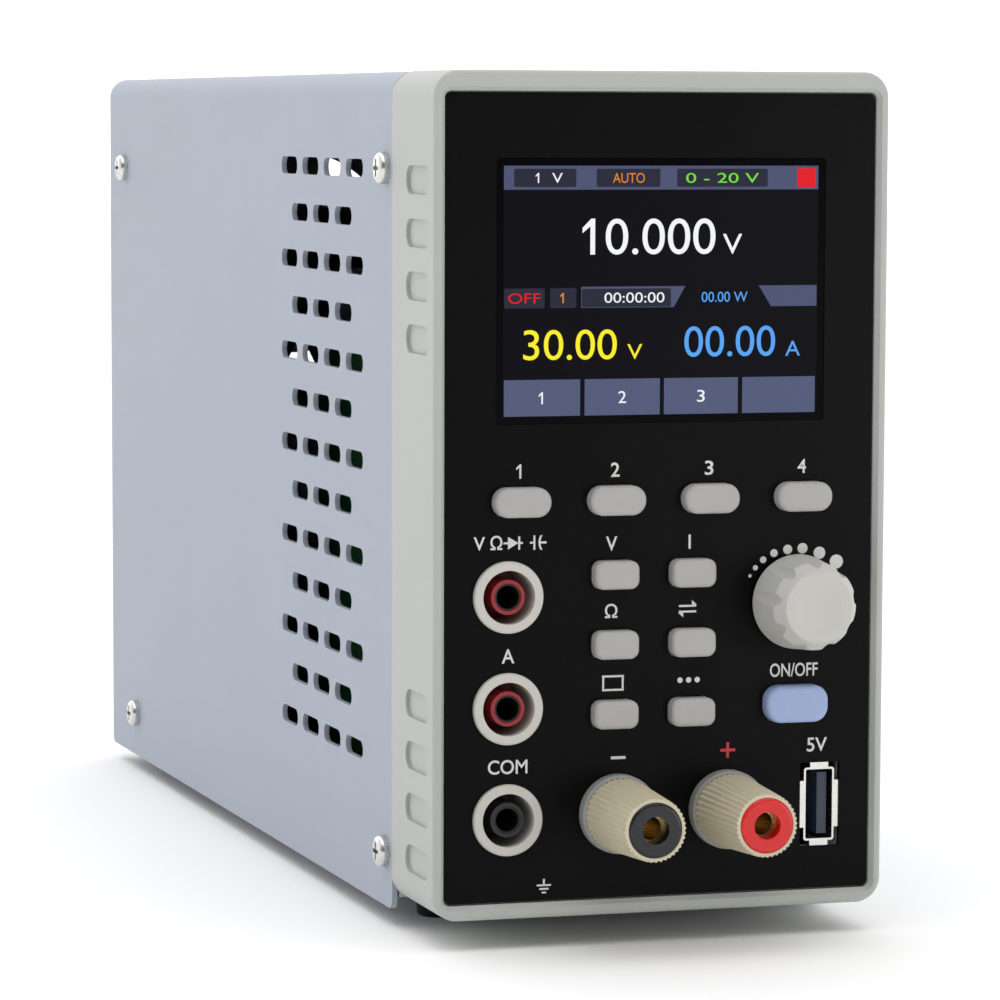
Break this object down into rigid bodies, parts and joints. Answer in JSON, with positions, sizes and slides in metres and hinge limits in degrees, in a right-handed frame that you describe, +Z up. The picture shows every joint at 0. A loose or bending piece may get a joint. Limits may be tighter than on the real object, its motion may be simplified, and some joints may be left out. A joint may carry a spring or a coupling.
{
  "type": "bench power supply",
  "caption": "compact upright bench power supply with colour display, soft keys, tuning knob, binding posts and built-in meter jacks",
  "frame": {"origin": "centre of the whole object's box in X and Y, at the plane its feet stand on", "axes": "+X across the front to the viewer's right, +Y from front to back, +Z up"},
  "size_m": [0.0868, 0.2838, 0.1526],
  "materials": {
    "case_grey": "fine powder coat",
    "bezel_grey": "fine moulded grain",
    "overlay_black": "printed polycarbonate film",
    "screen": "dark display pane",
    "display_frame": "plastic frame",
    "board_green": "solder mask",
    "key_grey": "fine moulded grain",
    "key_blue": "fine moulded grain",
    "knob_grey": "fine moulded grain",
    "ring_grey": "moulded",
    "red_plastic": "moulded",
    "dark_red_plastic": "moulded",
    "black_plastic": "moulded",
    "navy_plastic": "moulded",
    "post_grey": "moulded",
    "cream_plastic": "moulded, ribbed",
    "tongue_blue": "moulded",
    "brass": "turned",
    "nickel": "nickel plated",
    "zinc_steel": "zinc plated sheet",
    "bare_aluminium": "extruded",
    "ferrite": "sintered",
    "coil_tape": "wound tape",
    "can_blue": "shrunk sleeve",
    "nylon": "moulded",
    "foot_rubber": "moulded"
  },
  "bodies": {
    "case": {"front_bezel": "bezel_grey", "front_overlay": "overlay_black", "display_glass": "screen", "display_module": "display_frame", "control_board": "board_green", "key_switches": "black_plastic", "small_screws": "nickel", "encoder_body": "zinc_steel", "meter_jack_shells": "ring_grey", "common_jack_sleeve": "black_plastic", "red_jack_sleeves": "dark_red_plastic", "meter_jack_contacts": "brass", "minus_post_base": "post_grey", "minus_post_stem": "brass", "plus_post_base": "post_grey", "plus_post_stem": "brass", "post_tail_nuts": "nickel", "usb_shell": "nickel", "usb_tongue": "tongue_blue", "chassis_tray": "zinc_steel", "top_cover": "case_grey", "cover_screws": "nickel", "rear_panel": "case_grey", "rubber_feet": "foot_rubber", "fan_frame": "black_plastic", "mains_inlet": "black_plastic", "inlet_pins": "nickel", "rocker_housing": "black_plastic", "selector_body": "black_plastic", "power_board": "board_green", "meter_board": "board_green", "board_standoffs": "nylon", "heat_sinks": "bare_aluminium", "transformer_core": "ferrite", "transformer_coil": "coil_tape", "capacitors": "can_blue"},
    "menu_button_1": {"menu_key_1": "key_grey"},
    "menu_button_2": {"menu_key_2": "key_grey"},
    "menu_button_3": {"menu_key_3": "key_grey"},
    "menu_button_4": {"menu_key_4": "key_grey"},
    "display_button": {"display_key": "key_grey"},
    "mode_button": {"mode_key": "key_grey"},
    "ohms_button": {"ohms_key": "key_grey"},
    "limits_button": {"limits_key": "key_grey"},
    "volts_button": {"volts_key": "key_grey"},
    "amps_button": {"amps_key": "key_grey"},
    "output_button": {"output_key": "key_blue"},
    "encoder_push": {"encoder_plunger": "zinc_steel"},
    "knob": {"encoder_shaft": "zinc_steel", "tuning_knob": "knob_grey"},
    "minus_washer": {"minus_clamp_washer": "nickel"},
    "minus_nut": {"minus_post_nut": "cream_plastic", "minus_nut_ring": "navy_plastic"},
    "plus_washer": {"plus_clamp_washer": "nickel"},
    "plus_nut": {"plus_post_nut": "cream_plastic", "plus_nut_ring": "red_plastic"},
    "rotor": {"fan_rotor": "black_plastic"},
    "drawer": {"fuse_drawer": "black_plastic"},
    "rocker": {"mains_rocker": "black_plastic"},
    "slider": {"selector_slider": "red_plastic"}
  },
  "joints": [
    {"name": "menu_key_1_press", "type": "slide", "parent": "case", "child": "menu_button_1", "axis": [0, 1, 0], "range_m": [0, 0.0008], "stiffness_N_per_m": 900, "springref_m": -0.0006},
    {"name": "menu_key_2_press", "type": "slide", "parent": "case", "child": "menu_button_2", "axis": [0, 1, 0], "range_m": [0, 0.0008], "stiffness_N_per_m": 900, "springref_m": -0.0006},
    {"name": "menu_key_3_press", "type": "slide", "parent": "case", "child": "menu_button_3", "axis": [0, 1, 0], "range_m": [0, 0.0008], "stiffness_N_per_m": 900, "springref_m": -0.0006},
    {"name": "menu_key_4_press", "type": "slide", "parent": "case", "child": "menu_button_4", "axis": [0, 1, 0], "range_m": [0, 0.0008], "stiffness_N_per_m": 900, "springref_m": -0.0006},
    {"name": "display_key_press", "type": "slide", "parent": "case", "child": "display_button", "axis": [0, 1, 0], "range_m": [0, 0.0008], "stiffness_N_per_m": 900, "springref_m": -0.0006},
    {"name": "mode_key_press", "type": "slide", "parent": "case", "child": "mode_button", "axis": [0, 1, 0], "range_m": [0, 0.0008], "stiffness_N_per_m": 900, "springref_m": -0.0006},
    {"name": "ohms_key_press", "type": "slide", "parent": "case", "child": "ohms_button", "axis": [0, 1, 0], "range_m": [0, 0.0008], "stiffness_N_per_m": 900, "springref_m": -0.0006},
    {"name": "limits_key_press", "type": "slide", "parent": "case", "child": "limits_button", "axis": [0, 1, 0], "range_m": [0, 0.0008], "stiffness_N_per_m": 900, "springref_m": -0.0006},
    {"name": "volts_key_press", "type": "slide", "parent": "case", "child": "volts_button", "axis": [0, 1, 0], "range_m": [0, 0.0008], "stiffness_N_per_m": 900, "springref_m": -0.0006},
    {"name": "amps_key_press", "type": "slide", "parent": "case", "child": "amps_button", "axis": [0, 1, 0], "range_m": [0, 0.0008], "stiffness_N_per_m": 900, "springref_m": -0.0006},
    {"name": "output_key_press", "type": "slide", "parent": "case", "child": "output_button", "axis": [0, 1, 0], "range_m": [0, 0.0008], "stiffness_N_per_m": 900, "springref_m": -0.0006},
    {"name": "knob_press", "type": "slide", "parent": "case", "child": "encoder_push", "axis": [0, 1, 0], "range_m": [0, 0.0005], "stiffness_N_per_m": 2500, "springref_m": -0.0006},
    {"name": "knob_turn", "type": "hinge", "parent": "encoder_push", "child": "knob", "pos_m": [0.0253, -0.1277, 0.0597], "axis": [0, -1, 0], "continuous": true},
    {"name": "minus_nut_travel", "type": "slide", "parent": "case", "child": "minus_washer", "axis": [0, -1, 0], "range_m": [0, 0.004]},
    {"name": "minus_nut_turn", "type": "hinge", "parent": "minus_washer", "child": "minus_nut", "pos_m": [-0.0077, -0.1327, 0.0232], "axis": [0, -1, 0], "range_deg": [0, 1800]},
    {"name": "plus_nut_travel", "type": "slide", "parent": "case", "child": "plus_washer", "axis": [0, -1, 0], "range_m": [0, 0.004]},
    {"name": "plus_nut_turn", "type": "hinge", "parent": "plus_washer", "child": "plus_nut", "pos_m": [0.0126, -0.1327, 0.0232], "axis": [0, -1, 0], "range_deg": [0, 1800]},
    {"name": "fan_turn", "type": "hinge", "parent": "case", "child": "rotor", "pos_m": [0, 0.1287, 0.1122], "axis": [0, 1, 0], "continuous": true},
    {"name": "fuse_drawer_slide", "type": "slide", "parent": "case", "child": "drawer", "axis": [0, 1, 0], "range_m": [0, 0.018]},
    {"name": "mains_rocker_tilt", "type": "hinge", "parent": "case", "child": "rocker", "pos_m": [0.022, 0.1383, 0.0552], "axis": [-1, 0, 0], "range_deg": [0, 18]},
    {"name": "selector_slide", "type": "slide", "parent": "case", "child": "slider", "axis": [1, 0, 0], "range_m": [0, 0.0051]}
  ],
  "couplings": [
    {"joint": "minus_nut_turn", "follows": "minus_nut_travel", "rad_per_m": 7853},
    {"joint": "plus_nut_turn", "follows": "plus_nut_travel", "rad_per_m": 7853}
  ]
}
